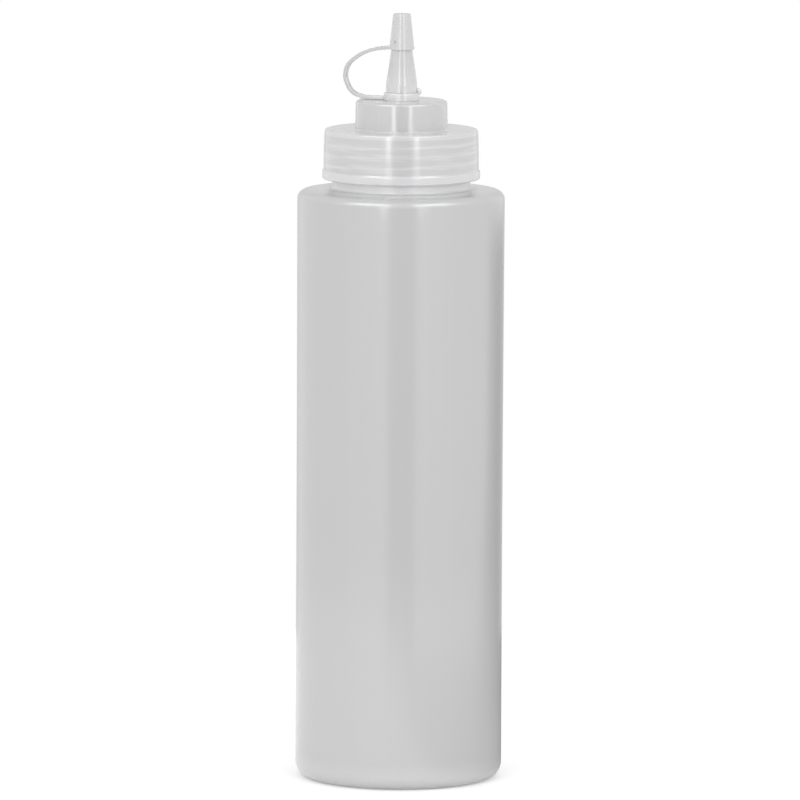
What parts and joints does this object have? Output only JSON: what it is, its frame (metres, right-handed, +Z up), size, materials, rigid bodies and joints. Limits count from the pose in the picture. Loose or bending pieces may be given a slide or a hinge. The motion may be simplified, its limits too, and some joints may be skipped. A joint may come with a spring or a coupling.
{
  "type": "squeeze bottle",
  "caption": "Tall cylindrical squeeze bottle in translucent plastic, with a screw cap, a tapered nozzle and a tip cap tethered to the nozzle's foot by a flat loop.",
  "frame": {"origin": "middle of the base, on the surface that the bottle stands on", "axes": "+Z up along the bottle's and nozzle's axis; the tether loops out towards -X"},
  "size_m": [0.07, 0.07, 0.2591],
  "materials": {
    "bottle_plastic": "natural LDPE, blow moulded, satin and translucent",
    "cap_plastic": "natural LDPE, injection moulded, glossy and translucent",
    "tip_cap_plastic": "natural LDPE, injection moulded, glossy and translucent"
  },
  "bodies": {
    "root": {"bottle": "bottle_plastic", "screw_cap": "cap_plastic", "tip_cap": "tip_cap_plastic"}
  },
  "joints": []
}
